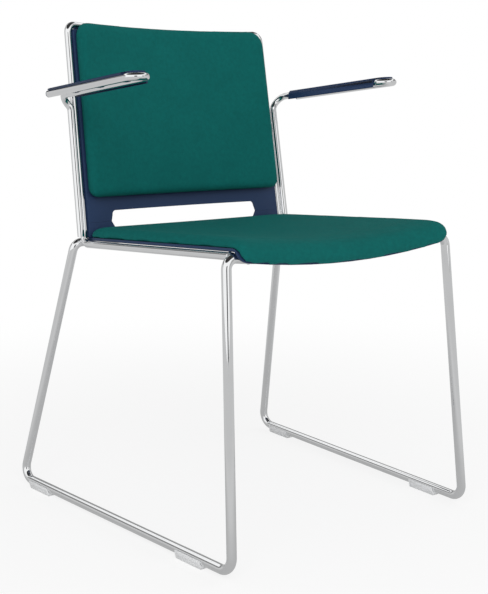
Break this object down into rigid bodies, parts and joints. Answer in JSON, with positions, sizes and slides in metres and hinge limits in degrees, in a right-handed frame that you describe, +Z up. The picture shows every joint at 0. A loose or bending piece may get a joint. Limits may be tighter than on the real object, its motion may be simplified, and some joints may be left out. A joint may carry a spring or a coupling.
{
  "type": "sled base visitor chair",
  "caption": "Visitor chair on a chromed rod sled frame, with bent rod arms, a slotted plastic back shell, a plastic seat shell and padded fabric seat and back.",
  "frame": {"origin": "on the floor, under the middle of the chair's overall box", "axes": "+Z up, -Y towards the front of the seat, +X to the right as seen from the front, the mirror plane is X = 0"},
  "size_m": [0.582, 0.5818, 0.8192],
  "materials": {
    "chromed_rod": "polished",
    "shell_plastic": "fine matte, moulded",
    "upholstery": "plain tight weave",
    "board_wood": "raw plywood",
    "glide_plastic": "milky, slightly see-through",
    "screw_steel": "zinc plated"
  },
  "bodies": {
    "root": {"sled_left": "chromed_rod", "sled_right": "chromed_rod", "rear_cross_rod": "chromed_rod", "front_cross_rod": "chromed_rod", "hoop_rod": "chromed_rod", "arm_rod_left": "chromed_rod", "arm_rod_cap_left": "shell_plastic", "arm_pad_left": "shell_plastic", "arm_rod_right": "chromed_rod", "arm_rod_cap_right": "shell_plastic", "arm_pad_right": "shell_plastic", "seat_front_left_tab": "chromed_rod", "seat_front_left_screw": "screw_steel", "seat_front_right_tab": "chromed_rod", "seat_front_right_screw": "screw_steel", "seat_rear_left_tab": "chromed_rod", "seat_rear_left_screw": "screw_steel", "seat_rear_right_tab": "chromed_rod", "seat_rear_right_screw": "screw_steel", "back_lower_left_tab": "chromed_rod", "back_lower_left_screw": "screw_steel", "back_lower_right_tab": "chromed_rod", "back_lower_right_screw": "screw_steel", "back_upper_left_tab": "chromed_rod", "back_upper_left_screw": "screw_steel", "back_upper_right_tab": "chromed_rod", "back_upper_right_screw": "screw_steel", "seat_shell": "shell_plastic", "back_shell": "shell_plastic", "seat_cushion": "upholstery", "back_cushion": "upholstery", "seat_board": "board_wood", "back_board": "board_wood", "glide_front_left": "glide_plastic", "glide_front_right": "glide_plastic", "glide_rear_left": "glide_plastic", "glide_rear_right": "glide_plastic"}
  },
  "joints": []
}
